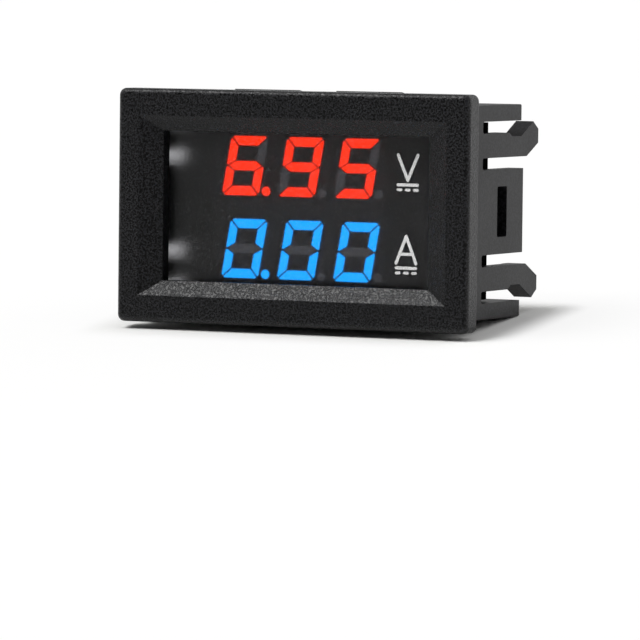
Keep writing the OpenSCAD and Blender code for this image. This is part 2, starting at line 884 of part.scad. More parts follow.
// A bare wire bow: two legs through the board and a half ring between them
module shunt_wire() {
    leg = board_t + pin_tail;
    color("#b0784c") {
        for (spot = shunt_spots()) translate([spot[0], board_rear, spot[1]]) {
            rotate([90, 0, 0]) cylinder(r = shunt_r, h = leg);
        }
        translate([shunt_x, board_rear, shunt_low_z + shunt_span / 2]) rotate([0, 90, 0]) {
            rotate_extrude(angle = 180) translate([shunt_span / 2, 0]) circle(shunt_r);
        }
    }
}

// ---- Headers ----

module header_pins(spots, w, len, tip) {
    for (spot = spots) {
        slab(spot[0], spot[1], w, w, board_front - pin_tail, board_rear + len - tip);
        slab(spot[0], spot[1], w * 0.6, w * 0.6, board_rear + len - tip, board_rear + len);
    }
}

module current_header_pins() {
    color("#c9cacb") header_pins(current_pin_spots(), current_pin_w, current_pin_len, current_pin_tip);
}

module current_header_base() {
    wall_x = current_base_x + current_base_d / 2 - current_wall_t;
    color("#ecebe4") difference() {
        union() {
            slab(current_base_x, 0, current_base_d, current_base_w,
                board_rear, board_rear + current_base_t);
            slab(wall_x + current_wall_t / 2, 0, current_wall_t, current_base_w,
                board_rear, board_rear + current_wall_h);
            slab(wall_x - current_lip_reach / 2, 0, current_lip_reach, current_base_w / 2,
                board_rear + current_wall_h - current_lip_h, board_rear + current_wall_h);
        }
        for (spot = current_pin_spots()) {
            slab(spot[0], spot[1], current_pin_w, current_pin_w,
                board_rear - cut, board_rear + current_base_t + cut);
        }
    }
}

module supply_header_pins() {
    color("#c9cacb") header_pins(supply_pin_spots(), supply_pin_w, supply_pin_len, supply_pin_tip);
}

module supply_header_shroud() {
    rim = board_rear + supply_shroud_h;
    color("#ecebe4") difference() {
        slab(supply_x, 0, supply_shroud_d, supply_shroud_w, board_rear, rim);
        slab(supply_x, 0, supply_shroud_d - 2 * supply_wall, supply_shroud_w - 2 * supply_wall,
            board_rear + supply_floor, rim + cut);
        for (s = [-1, 1]) {
            slab(supply_x - supply_shroud_d / 2, s * (supply_shroud_w / 2 - supply_key_inset - supply_key_w / 2),
                2 * supply_wall + cut, supply_key_w, rim - supply_key_drop, rim + cut);
        }
        for (spot = supply_pin_spots()) {
            slab(spot[0], spot[1], supply_pin_w, supply_pin_w,
                board_rear - cut, board_rear + supply_floor + cut);
        }
    }
}

// ---- Trimmers ----

module trimmer_base(x) {
    color("#e8e6dc") on_rear(x, trimmer_z) difference() {
        translate([-trimmer_w / 2, -trimmer_h / 2, 0]) cube([trimmer_w, trimmer_h, trimmer_t]);
        translate([0, 0, trimmer_t - rotor_well]) {
            cylinder(r = rotor_r + rotor_play, h = rotor_well + cut);
        }
        translate([0, 0, -cut]) cylinder(r = rotor_shaft_r + rotor_play, h = trimmer_t + cut);
    }
}

module trimmer_rotor(x) {
    seat = trimmer_t - rotor_well + rotor_play;
    top = trimmer_t + rotor_proud;
    color("#c8c2b4") on_rear(x, trimmer_z) difference() {
        union() {
            translate([0, 0, seat]) cylinder(r = rotor_r, h = top - seat);
            translate([0, 0, rotor_play]) cylinder(r = rotor_shaft_r, h = seat);
        }
        for (turn = [0, 90]) rotate([0, 0, turn]) {
            translate([-driver_slot_w / 2, -rotor_r * 0.7, top - rotor_proud]) {
                cube([driver_slot_w, rotor_r * 1.4, rotor_proud + cut]);
            }
        }
    }
}

// Three solder tabs at the base's ends: two on one side and one on the other
module trimmer_terminals(x) {
    tab = [0.8, 0.3, trimmer_t * 0.6];
    color("#c9cacb") on_rear(x, trimmer_z) {
        for (s = [-1, 1]) {
            translate([s * (trimmer_w / 2 - tab[0]) - tab[0] / 2, trimmer_h / 2, 0]) cube(tab);
        }
        translate([-tab[0] / 2, -trimmer_h / 2 - tab[1], 0]) cube(tab);
    }
}

module voltage_trimmer_base() { trimmer_base(voltage_trimmer_x); }
module voltage_trimmer_rotor() { trimmer_rotor(voltage_trimmer_x); }
module voltage_trimmer_terminals() { trimmer_terminals(voltage_trimmer_x); }
module current_trimmer_base() { trimmer_base(current_trimmer_x); }
module current_trimmer_rotor() { trimmer_rotor(current_trimmer_x); }
module current_trimmer_terminals() { trimmer_terminals(current_trimmer_x); }

housing();
window();
voltage_display_shell();
voltage_display_potting();
voltage_display_pins();
voltage_segments_lit();
voltage_segments_dark();
current_display_shell();
current_display_potting();
current_display_pins();
current_segments_lit();
current_segments_dark();
circuit_board();
solder_joints();
microcontroller_body();
microcontroller_leads();
amplifier_body();
amplifier_leads();
regulator_body();
regulator_leads();
protection_diode_body();
protection_diode_leads();
chip_capacitors();
chip_capacitor_ends();
chip_resistors();
chip_resistor_ends();
shunt_wire();
current_header_base();
current_header_pins();
supply_header_shroud();
supply_header_pins();
voltage_trimmer_base();
voltage_trimmer_rotor();
voltage_trimmer_terminals();
current_trimmer_base();
current_trimmer_rotor();
current_trimmer_terminals();
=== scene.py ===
import json
import math

import bmesh
import bpy
from mathutils import Matrix, Vector


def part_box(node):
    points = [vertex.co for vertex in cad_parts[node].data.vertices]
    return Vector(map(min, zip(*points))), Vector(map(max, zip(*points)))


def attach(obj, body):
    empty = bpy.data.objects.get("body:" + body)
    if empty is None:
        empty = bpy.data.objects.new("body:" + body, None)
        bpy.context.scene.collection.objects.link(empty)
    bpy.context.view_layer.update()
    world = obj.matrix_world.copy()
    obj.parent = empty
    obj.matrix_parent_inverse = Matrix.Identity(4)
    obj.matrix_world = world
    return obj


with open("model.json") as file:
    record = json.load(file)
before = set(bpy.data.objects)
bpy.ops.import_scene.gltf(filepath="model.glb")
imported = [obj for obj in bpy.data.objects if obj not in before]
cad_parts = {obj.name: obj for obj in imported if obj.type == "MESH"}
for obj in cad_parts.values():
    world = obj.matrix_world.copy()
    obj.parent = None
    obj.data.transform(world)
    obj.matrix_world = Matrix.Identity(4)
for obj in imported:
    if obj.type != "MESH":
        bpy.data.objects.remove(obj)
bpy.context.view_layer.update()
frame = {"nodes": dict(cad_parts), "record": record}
nodes = frame["nodes"]
mm = 0.001
housingLow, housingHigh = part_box("housing")
boardLow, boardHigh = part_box("circuit_board")
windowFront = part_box("window")[0].y
boardBack = boardHigh.y


def hexToLinear(code):  # an sRGB hex colour as the linear colour that a shader takes
    parts = [int(code[i:i + 2], 16) / 255 for i in (1, 3, 5)]
    return [p / 12.92 if p <= 0.04045 else ((p + 0.055) / 1.055) ** 2.4 for p in parts] + [1.0]


# adds a node, sets it up and links every socket it is given
def addNode(tree, kind, inputs=None, **settings):
    node = tree.nodes.new("ShaderNode" + kind)
    for key, value in settings.items():
        setattr(node, key, value)
    for key, value in (inputs or {}).items():
        if isinstance(value, bpy.types.NodeSocket):
            tree.links.new(value, node.inputs[key])
        else:
            node.inputs[key].default_value = value
    return node


def startMaterial(name):  # an empty node tree under that name, and where on the part each point lies
    material = bpy.data.materials.new(name)
    material.use_nodes = True
    tree = material.node_tree
    tree.nodes.clear()
    return material, tree, addNode(tree, "TexCoord").outputs["Object"]


def perMetre(sizeMm):  # texture scale that makes its features about this size
    return 1 / (sizeMm * mm)


# The studio: a sheet of white paper, painted whiter away from the part, a room that is dark in front of the
# part, and one large soft lamp.
studio = {
    "paperLow": "#f7f7f5",
    "paperHigh": "#fcfcfb",
    "fibreMm": 3,
    "floorReach": 4.0,      # half the sheet's side, in metres
    "paintedWhiteMost": 0.85,       # how much of the paper's tone is painted over with plain white away from the part, painted light that fades out the outer part of its shadow
    "paintedWhiteMm": (0.2, 6),     # how far from the part that begins and is full
    "roomGlow": 1.0,        # pale walls and ceiling
    "darkGlow": 0.05,       # the dark side that the front of the part looks into
    "darkFacing": (0.1, 0.42),  # how squarely a way faces that side where the dark begins and is full
    "darkRise": (1.0, 0.75),    # and how steeply it rises there
    "dimGlow": 0.35,        # the dim corner of the ceiling, behind on the left
    "dimToward": (-0.41, 0.54, 0.73),
    "dimFacing": (0.6, 0.92),
}

softLamp = {
    "toward": (-0.44, -0.36, 0.82),
    "angleDeg": 34,         # how wide it looks from the part
    "strength": 2.2,
}

cameraSet = {
    "place": (0.3295, -0.66515, 0.0292),
    "yawDeg": 26.153,
    "pitchDeg": 3.303,
    "rollDeg": -0.632,
    "lensMm": 339.9,
    "sensorMm": 36,
    "clipM": (0.01, 50),
}


rest = {
    "pastBezelMm": 1,       # the bezel itself hangs free of the floor
    "nearFloorMm": 2,
    "edgeLean": 0.01,       # of points as far back, the lowest one counts
}


# the two lines that the part rests on: the tongues' free ends and the sleeve's rear bottom edge
def restPoints():
    points = [v.co for v in nodes["housing"].data.vertices]
    behind = [p for p in points if p.y > rest["pastBezelMm"] * mm]
    tongue = min(behind, key=lambda p: (round(p.z, 6), p.y))
    near = [p for p in points if p.z < housingLow.z + rest["nearFloorMm"] * mm]
    rear = max(near, key=lambda p: p.y - rest["edgeLean"] * p.z)
    return tongue, rear


def buildFloor():
    tongue, rear = restPoints()
    slope = math.atan2(rear.z - tongue.z, rear.y - tongue.y)
    reach = studio["floorReach"]
    mesh = bpy.data.meshes.new("floor")
    corners = [(-reach, -reach, 0), (reach, -reach, 0), (reach, reach, 0), (-reach, reach, 0)]
    mesh.from_pydata(corners, [], [(0, 1, 2, 3)])
    floor = bpy.data.objects.new("floor", mesh)
    bpy.context.scene.collection.objects.link(floor)
    floor.matrix_world = Matrix.Translation((0, tongue.y, tongue.z)) @ Matrix.Rotation(slope, 4, "X")
    # uncoated paper: matt and white, with a faint cloud of fibres
    material, tree, place = startMaterial("matt_white_paper")
    fibres = addNode(tree, "TexNoise", {"Vector": place, "Scale": perMetre(studio["fibreMm"]), "Detail": 3})
    tone = addNode(tree, "MixRGB", {
        "Fac": fibres.outputs["Fac"],
        "Color1": hexToLinear(studio["paperLow"]), "Color2": hexToLinear(studio["paperHigh"])})
    paper = addNode(tree, "BsdfDiffuse", {"Color": tone.outputs["Color"]})
    white = addNode(tree, "Emission", {"Strength": 1.0})
    depth = (housingHigh.y - housingLow.y) / 2
    away = place  # becomes the distance from the rectangle that the part covers
    for operation, other in (("SUBTRACT", (0, housingLow.y + depth - tongue.y, 0)), ("ABSOLUTE", (0, 0, 0)),
                             ("SUBTRACT", (housingHigh.x, depth, 0)), ("MAXIMUM", (0, 0, 0))):
        away = addNode(tree, "VectorMath", {0: away, 1: other}, operation=operation).outputs["Vector"]
    away = addNode(tree, "VectorMath", {0: away}, operation="LENGTH").outputs["Value"]
    # painted light: plain white mixed over the paper, more of it further from the part, so that the part's
    # shadow fades sooner than the lamps make it; rays from the camera, reflections and rays through glass
    # see it
    paintedLift = addNode(tree, "MapRange", {
        "Value": away, "From Min": studio["paintedWhiteMm"][0] * mm, "From Max": studio["paintedWhiteMm"][1] * mm,
        "To Max": studio["paintedWhiteMost"]}, interpolation_type="SMOOTHSTEP")
    path = addNode(tree, "LightPath").outputs
    seen = path["Is Camera Ray"]
    for ray in ("Is Glossy Ray", "Is Transmission Ray"):
        seen = addNode(tree, "Math", {0: seen, 1: path[ray]}, operation="MAXIMUM").outputs[0]
    share = addNode(tree, "Math", {0: seen, 1: paintedLift.outputs["Result"]}, operation="MULTIPLY")
    both = addNode(tree, "MixShader", {0: share.outputs[0], 1: paper.outputs[0], 2: white.outputs[0]})
    addNode(tree, "OutputMaterial", {"Surface": both.outputs[0]})
    mesh.materials.append(material)
    print("floor laid, tilted", round(math.degrees(slope), 2), "degrees to the part")


def buildRoom():
    world = bpy.data.worlds.new("studioRoom")
    bpy.context.scene.world = world
    world.use_nodes = True
    tree = world.node_tree
    tree.nodes.clear()
    direction = addNode(tree, "TexCoord").outputs["Generated"]
    rise = addNode(tree, "SeparateXYZ", {0: direction})
    front, corner = (addNode(tree, "VectorMath", {0: direction, 1: toward}, operation="DOT_PRODUCT")
                     for toward in ((0.0, -1.0, 0.0), studio["dimToward"]))
    shares = [addNode(tree, "MapRange", {"Value": value, "From Min": span[0], "From Max": span[1]},
                      interpolation_type="SMOOTHSTEP").outputs["Result"]
              for value, span in ((front.outputs["Value"], studio["darkFacing"]),
                                  (rise.outputs["Z"], studio["darkRise"]),
                                  (corner.outputs["Value"], studio["dimFacing"]))]
    dark = addNode(tree, "Math", {0: shares[0], 1: shares[1]}, operation="MULTIPLY")
    walls = addNode(tree, "MapRange", {
        "Value": shares[2], "To Min": studio["roomGlow"], "To Max": studio["dimGlow"]})
    glow = addNode(tree, "MapRange", {
        "Value": dark.outputs[0], "To Min": walls.outputs["Result"], "To Max": studio["darkGlow"]})
    room = addNode(tree, "Background", {"Color": glow.outputs["Result"], "Strength": 1.0})
    addNode(tree, "OutputWorld", {"Surface": room.outputs[0]})


def buildLamp():
    light = bpy.data.lights.new("softLamp", "SUN")
    light.angle = math.radians(softLamp["angleDeg"])
    light.energy = softLamp["strength"]
    lamp = bpy.data.objects.new("softLamp", light)
    lamp.rotation_euler = Vector(softLamp["toward"]).to_track_quat("Z", "Y").to_euler()
    bpy.context.scene.collection.objects.link(lamp)


def buildCamera():
    yaw, pitch, roll = (math.radians(cameraSet[k]) for k in ("yawDeg", "pitchDeg", "rollDeg"))
    ahead = Vector((-math.sin(yaw) * math.cos(pitch), math.cos(yaw) * math.cos(pitch), -math.sin(pitch)))
    level = Vector((math.cos(yaw), math.sin(yaw), 0))
    under = ahead.cross(level)
    right = math.cos(roll) * level + math.sin(roll) * under
    down = math.cos(roll) * under - math.sin(roll) * level
    camera = bpy.data.objects.new("camera", bpy.data.cameras.new("camera"))
    camera.data.sensor_width = cameraSet["sensorMm"]
    camera.data.lens = cameraSet["lensMm"]
    camera.data.clip_start, camera.data.clip_end = cameraSet["clipM"]
    turn = Matrix((right, -down, -ahead)).transposed().to_4x4()
    camera.matrix_world = Matrix.Translation(cameraSet["place"]) @ turn
    bpy.context.scene.collection.objects.link(camera)
    bpy.context.scene.camera = camera


buildFloor()
buildRoom()
buildLamp()
buildCamera()
bpy.context.scene.view_settings.view_transform = "Standard"
print("studio ready")


# Finishes. Each size is in millimetres on the real thing.
absFinish = {
    "low": "#010101",
    "high": "#212125",
    "grainMm": 0.26,        # the real grain is near 0.1 mm: drawn coarser, so that it shows
    "grainSpan": (0.44, 0.62),
    "reliefMm": 0.03,
    "smoothShare": 0.08,    # how much of that relief the sleeve behind the bezel has
    "bezelRough": 0.24,
    "sleeveRough": 0.43,
    "specular": 0.24,       # the pits of the grain hide part of the gloss
    "flowMm": 9,            # slow clouds in the gloss, from the melt's flow
    "flowSpan": (0.94, 1.06),
    "seamMm": (-0.1, 0.2),  # depth at which the bezel's grain gives way to the sleeve's
    "edgeMm": 0.1,          # wear of the mould's sharp edges
}


def mouldedAbs():
    # ABS from a spark-eroded mould: almost black and satin, with a sparkling grain on the bezel
    # and a duller sleeve
    material, tree, place = startMaterial("moulded_black_abs")
    grain = addNode(tree, "TexNoise", {
        "Vector": place, "Scale": perMetre(absFinish["grainMm"]), "Detail": 3, "Roughness": 0.6})
    least, most = absFinish["grainSpan"]
    spread = addNode(tree, "MapRange", {"Value": grain.outputs["Fac"], "From Min": least, "From Max": most})
    start, end = absFinish["seamMm"]
    inward = addNode(tree, "SeparateXYZ", {0: place}).outputs["Y"]
    behind = addNode(tree, "MapRange", {  # 0 on the bezel and 1 on the sleeve
        "Value": inward, "From Min": start * mm, "From Max": end * mm})
    tone = addNode(tree, "MixRGB", {
        "Fac": spread.outputs[0],
        "Color1": hexToLinear(absFinish["low"]), "Color2": hexToLinear(absFinish["high"])})
    flow = addNode(tree, "TexNoise", {"Vector": place, "Scale": perMetre(absFinish["flowMm"]), "Detail": 2})
    satin = addNode(tree, "MapRange", {
        "Value": behind.outputs[0], "To Min": absFinish["bezelRough"], "To Max": absFinish["sleeveRough"]})
    least, most = absFinish["flowSpan"]
    cloud = addNode(tree, "MapRange", {
        "Value": flow.outputs["Fac"], "From Min": 0.3, "From Max": 0.7, "To Min": least, "To Max": most})
    gloss = addNode(tree, "Math", {0: satin.outputs[0], 1: cloud.outputs[0]}, operation="MULTIPLY")
    depth = addNode(tree, "MapRange", {
        "Value": behind.outputs[0], "To Min": 1.0, "To Max": absFinish["smoothShare"]})
    height = addNode(tree, "Math", {0: spread.outputs[0], 1: depth.outputs[0]}, operation="MULTIPLY")
    edge = addNode(tree, "Bevel", {"Radius": absFinish["edgeMm"] * mm}, samples=6)
    relief = addNode(tree, "Bump", {
        "Height": height.outputs[0], "Distance": absFinish["reliefMm"] * mm, "Strength": 1.0,
        "Normal": edge.outputs[0]})
    shader = addNode(tree, "BsdfPrincipled", {
        "Base Color": tone.outputs["Color"], "Roughness": gloss.outputs[0], "IOR": 1.54,
        "Specular IOR Level": absFinish["specular"], "Normal": relief.outputs[0]})
    addNode(tree, "OutputMaterial", {"Surface": shader.outputs[0]})
    return material


windowFinish = {
    "smoke": "#b4b4b7",     # what the sheet lets through
    "etchMm": 0.3,          # the real etch is finer: drawn coarser, so that it shows
    "etchSpan": (0.52, 0.66),
    "reliefMm": 0.03,
    "rough": 0.28,
    "specular": 0.2,
    "fleck": "#434345",     # light that the etch throws back where it is coarsest
}


def smokedWindow():
    # cast smoked acrylic with an etched face: dark and finely flecked, and it softens what lies behind it
    material, tree, place = startMaterial("etched_smoked_acrylic")
    etch = addNode(tree, "TexNoise", {
        "Vector": place, "Scale": perMetre(windowFinish["etchMm"]), "Detail": 3, "Roughness": 0.65})
    least, most = windowFinish["etchSpan"]
    flecks = addNode(tree, "MapRange", {"Value": etch.outputs["Fac"], "From Min": least, "From Max": most})
    relief = addNode(tree, "Bump", {
        "Height": etch.outputs["Fac"], "Distance": windowFinish["reliefMm"] * mm, "Strength": 1.0})
    sheet = addNode(tree, "BsdfPrincipled", {
        "Base Color": hexToLinear(windowFinish["smoke"]), "Roughness": windowFinish["rough"], "IOR": 1.49,
        "Specular IOR Level": windowFinish["specular"],
        "Transmission Weight": 1.0, "Normal": relief.outputs[0]})
    pale = addNode(tree, "MixRGB", {
        "Fac": flecks.outputs[0],
        "Color1": hexToLinear("#000000"), "Color2": hexToLinear(windowFinish["fleck"])})
    thrown = addNode(tree, "BsdfDiffuse", {"Color": pale.outputs["Color"]})
    both = addNode(tree, "AddShader", {0: sheet.outputs[0], 1: thrown.outputs[0]})
    addNode(tree, "OutputMaterial", {"Surface": both.outputs[0]})
    return material


def litEpoxy(name, low, high, strength, body, cloudMm=0.8):
    # diffusing epoxy, cast round a light-emitting chip: an even, saturated glow
    material, tree, place = startMaterial(name)
    cloud = addNode(tree, "TexNoise", {"Vector": place, "Scale": perMetre(cloudMm), "Detail": 2})
    tone = addNode(tree, "MixRGB", {
        "Fac": cloud.outputs["Fac"], "Color1": hexToLinear(low), "Color2": hexToLinear(high)})
    shader = addNode(tree, "BsdfPrincipled", {
        "Base Color": hexToLinear(body), "Roughness": 0.5, "IOR": 1.5,
        "Emission Color": tone.outputs["Color"], "Emission Strength": strength})
    addNode(tree, "OutputMaterial", {"Surface": shader.outputs[0]})
    return material


laminateFinish = {
    "threadMm": 0.5,
    "stray": 0.6,           # how unevenly the threads run
    "reliefMm": 0.006,
    "rough": 0.3,
    # painted shade: the sawn edges' near-black stands in for the shadow inside the housing
    "sawnEdgeShade": "#0a0a0a",
}


def laminate(name, low, high, edge=laminateFinish["sawnEdgeShade"]):
    # woven glass laminate under a black mask: glossy, with a faint weave, and matt where it was sawn; the
    # sawn edges are painted near-black, painted shade for the housing's shadow over them
    material, tree, place = startMaterial(name)
    # at scale 1 a wave is pi / 10 long, and a thread is half a wave
    bands = perMetre(laminateFinish["threadMm"]) * math.pi / 20
    threads = [addNode(tree, "TexWave", {
        "Vector": place, "Scale": bands, "Distortion": laminateFinish["stray"], "Detail": 1},
        wave_type="BANDS", bands_direction=across).outputs["Fac"] for across in ("X", "Z")]
    weave = addNode(tree, "Math", {0: threads[0], 1: threads[1]}, operation="MULTIPLY")
    tone = addNode(tree, "MixRGB", {
        "Fac": weave.outputs[0], "Color1": hexToLinear(low), "Color2": hexToLinear(high)})
    relief = addNode(tree, "Bump", {
        "Height": weave.outputs[0], "Distance": laminateFinish["reliefMm"] * mm, "Strength": 1.0})
    across = addNode(tree, "SeparateXYZ", {0: addNode(tree, "TexCoord").outputs["Normal"]})
    sawn = addNode(tree, "Math", {0: across.outputs["Y"], 1: 0.0, 2: 0.5}, operation="COMPARE")
    masked = addNode(tree, "BsdfPrincipled", {
        "Base Color": tone.outputs["Color"], "Roughness": laminateFinish["rough"], "IOR": 1.55,
        "Normal": relief.outputs[0]})
    rough = addNode(tree, "BsdfDiffuse", {"Color": hexToLinear(edge), "Roughness": 0.8})
    both = addNode(tree, "MixShader", {0: sawn.outputs[0], 1: masked.outputs[0], 2: rough.outputs[0]})
    addNode(tree, "OutputMaterial", {"Surface": both.outputs[0]})
    return material


def grainedFinish(name, low, high, grainMm, reliefMm, rough, ior=None, edgeMm=0.0):
    # two close tones and a fine relief from one grain; without an IOR it is a metal
    material, tree, place = startMaterial(name)
    grain = addNode(tree, "TexNoise", {
        "Vector": place, "Scale": perMetre(grainMm), "Detail": 3, "Roughness": 0.6})
    spread = addNode(tree, "MapRange", {"Value": grain.outputs["Fac"], "From Min": 0.32, "From Max": 0.68})
    tone = addNode(tree, "MixRGB", {
        "Fac": spread.outputs[0], "Color1": hexToLinear(low), "Color2": hexToLinear(high)})
    least, most = rough
    gloss = addNode(tree, "MapRange", {
        "Value": grain.outputs["Fac"], "From Min": 0.3, "From Max": 0.7, "To Min": most, "To Max": least})
    bump = {"Height": grain.outputs["Fac"], "Distance": reliefMm * mm, "Strength": 1.0}
    if edgeMm:
        bump["Normal"] = addNode(tree, "Bevel", {"Radius": edgeMm * mm}, samples=6).outputs[0]
    settings = {
        "Base Color": tone.outputs["Color"], "Roughness": gloss.outputs[0],
        "Normal": addNode(tree, "Bump", bump).outputs[0]}
    settings.update({"IOR": ior} if ior else {"Metallic": 1.0})
    addNode(tree, "OutputMaterial", {"Surface": addNode(tree, "BsdfPrincipled", settings).outputs[0]})
    return material


def drawnMetal(name, low, high, lineMm, along, rough, reliefMm=0.004, edgeMm=0.05):
    # drawn or brushed metal: fine lines that run one way
    material, tree, place = startMaterial(name)
    stretch = addNode(tree, "Mapping", {"Vector": place, "Scale": along})
    lines = addNode(tree, "TexNoise", {"Vector": stretch.outputs[0], "Scale": perMetre(lineMm), "Detail": 3})
    tone = addNode(tree, "MixRGB", {
        "Fac": lines.outputs["Fac"], "Color1": hexToLinear(low), "Color2": hexToLinear(high)})
    least, most = rough
    gloss = addNode(tree, "MapRange", {
        "Value": lines.outputs["Fac"], "From Min": 0.3, "From Max": 0.7, "To Min": least, "To Max": most})
    edge = addNode(tree, "Bevel", {"Radius": edgeMm * mm}, samples=6)
    relief = addNode(tree, "Bump", {
        "Height": lines.outputs["Fac"], "Distance": reliefMm * mm, "Strength": 1.0,
        "Normal": edge.outputs[0]})
    shader = addNode(tree, "BsdfPrincipled", {
        "Base Color": tone.outputs["Color"], "Roughness": gloss.outputs[0], "Metallic": 1.0,
        "Normal": relief.outputs[0]})
    addNode(tree, "OutputMaterial", {"Surface": shader.outputs[0]})
    return material


finishes = {
    "black_abs": mouldedAbs(),
    "smoked_acrylic": smokedWindow(),
    # reflector shell moulded in PBT with a matt black face, so that the segments stand out
    "display_shell": grainedFinish("painted_black_pbt", "#0b0b0c", "#161617", 0.3, 0.004, (0.5, 0.65), 1.57),
    # cast epoxy: cloudy, amber grey and glossy
    "potting_epoxy": grainedFinish("cast_epoxy", "#4d4a42", "#67635a", 0.8, 0.004, (0.18, 0.3), 1.55),
    # epoxy tinted by its lit chip: a saturated orange red, and a clear sky blue
    "red_segment": litEpoxy("red_lit_epoxy", "#ff2400", "#ff2e00", 3.0, "#5a1208"),
    "blue_segment": litEpoxy("blue_lit_epoxy", "#009aff", "#00a3ff", 2.8, "#08283c"),
    # epoxy of a dark segment: milky grey, with a painted glow standing in for the little light it gets from
    # its neighbours
    "unlit_segment": litEpoxy("unlit_milky_epoxy_painted_glow", "#8a8a8e", "#9a9a9e", 0.2, "#606063"),
    "board_laminate": laminate("masked_glass_laminate", "#0e1110", "#171b1a"),
    # reflowed solder: bright metal with a slight frost
    "solder": grainedFinish("reflowed_solder", "#c2c4c6", "#dedfe1", 0.2, 0.006, (0.18, 0.32)),
    # transfer-moulded epoxy: matt charcoal, slightly rough
    "chip_epoxy": grainedFinish(
        "transfer_moulded_epoxy", "#1c1c1e", "#2a2a2c", 0.12, 0.005, (0.5, 0.65), 1.55, edgeMm=0.06),
    # matt tin plate over copper alloy: soft silver
    "tinned_metal": grainedFinish(
        "matt_tin_plate", "#b9babb", "#cfd0d1", 0.15, 0.002, (0.25, 0.38), edgeMm=0.04),
    # fired ceramic: tan and matt
    "capacitor_ceramic": grainedFinish(
        "fired_ceramic", "#8a6a45", "#9f7e56", 0.2, 0.003, (0.45, 0.6), 1.6, edgeMm=0.08),
    # glazed resistive film: gloss black
    "resistor_glaze": grainedFinish(
        "black_glaze", "#0c0c0e", "#17171a", 0.3, 0.002, (0.15, 0.25), 1.5, edgeMm=0.04),
    # resistance wire drawn from a copper alloy: warm, with fine lines along it
    "shunt_alloy": drawnMetal("drawn_copper_alloy", "#a56d47", "#c98d61", 0.08, (1, 1, 0.08), (0.22, 0.38)),
    # moulded nylon: creamy white and slightly waxy
    "white_nylon": grainedFinish(
        "moulded_white_nylon", "#dedcd2", "#ebe9e0", 0.4, 0.006, (0.35, 0.5), 1.53, edgeMm=0.08),
    # moulded PBT: ivory and satin
    "trimmer_plastic": grainedFinish(
        "moulded_ivory_pbt", "#d8d5c6", "#e6e3d5", 0.3, 0.003, (0.4, 0.5), 1.57, edgeMm=0.06),
    # stamped and plated steel: pale, brushed one way
    "rotor_metal": drawnMetal("stamped_plated_steel", "#b5ad9b", "#d2cab8", 0.06, (0.06, 1, 1), (0.25, 0.4)),
}

slotOf = {row["node"]: row["material_slot"] for row in frame["record"]["subparts"]}
for name, node in nodes.items():
    node.data.materials.clear()
    node.data.materials.append(finishes[slotOf[name]])
print("finishes on", len(nodes), "parts")


# Mesh helpers for what is printed, etched or soldered flat: outlines in X and Z, in millimetres.
def rectOutline(x0, z0, x1, z1):
    return [(x0, z0), (x1, z0), (x1, z1), (x0, z1)]


def discOutline(x, z, radius, steps=20):
    turns = [2 * math.pi * i / steps for i in range(steps)]
    return [(x + radius * math.cos(t), z + radius * math.sin(t)) for t in turns]


def strokeOutline(a, b, width, steps=8):  # a straight stroke with round ends
    heading = math.atan2(b[1] - a[1], b[0] - a[0])
    outline = []
    for end, start in ((b, heading - math.pi / 2), (a, heading + math.pi / 2)):
        for i in range(steps + 1):
            turn = start + math.pi * i / steps
            outline.append((end[0] + width / 2 * math.cos(turn), end[1] + width / 2 * math.sin(turn)))
    return outline


def loft(sheet, base, top, baseY, topY):  # a closed solid between two outlines of as many points
    rings = [[sheet.verts.new((x * mm, y, z * mm)) for x, z in outline]
             for outline, y in ((base, baseY), (top, topY))]
    sheet.faces.new(rings[0])
    sheet.faces.new(rings[1][::-1])
    count = len(base)
    for i in range(count):
        j = (i + 1) % count
        sheet.faces.new((rings[0][j], rings[0][i], rings[1][i], rings[1][j]))


def washer(sheet, x, z, outer, inner, baseY, topY):  # a flat ring
    loops = [[sheet.verts.new((px * mm, y, pz * mm)) for px, pz in discOutline(x, z, radius)]
             for radius, y in ((outer, baseY), (outer, topY), (inner, topY), (inner, baseY))]
    count = len(loops[0])
    for k in range(4):
        a, b = loops[k], loops[(k + 1) % 4]
        for i in range(count):
            j = (i + 1) % count
            sheet.faces.new((a[i], a[j], b[j], b[i]))


def ribbon(sheet, points, width, baseY, topY, closed=False):  # a bent flat strip with mitred corners
    count = len(points)
    left, right = [], []
    for i, point in enumerate(points):
        here = Vector(point)
        before = Vector(points[i - 1]) if i or closed else None
        after = Vector(points[(i + 1) % count]) if i < count - 1 or closed else None
        ways = [(here - before).normalized()] if before else []
        ways += [(after - here).normalized()] if after else []
        sides = [Vector((-w.y, w.x)) for w in ways]
        mitre = sum(sides, Vector((0, 0))).normalized()
        mitre *= width / 2 / mitre.dot(sides[0])
        left.append(here + mitre)
        right.append(here - mitre)
    rows = [[sheet.verts.new((p.x * mm, y, p.y * mm)) for p in line]
            for line, y in ((left, baseY), (left, topY), (right, topY), (right, baseY))]
    for i in range(count if closed else count - 1):
        j = (i + 1) % count
        for k in range(4):
            a, b = rows[k], rows[(k + 1) % 4]
            sheet.faces.new((a[i], a[j], b[j], b[i]))
    if not closed:
        sheet.faces.new([row[0] for row in rows])
        sheet.faces.new([row[-1] for row in rows][::-1])


def newPiece(name, sheet, finish):  # makes the mesh a piece that rides on the meter
    bmesh.ops.recalc_face_normals(sheet, faces=sheet.faces)
    mesh = bpy.data.meshes.new(name)
    sheet.to_mesh(mesh)
    sheet.free()
    piece = bpy.data.objects.new(name, mesh)
    bpy.context.scene.collection.objects.link(piece)
    mesh.materials.append(finish)
    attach(piece, "meter")


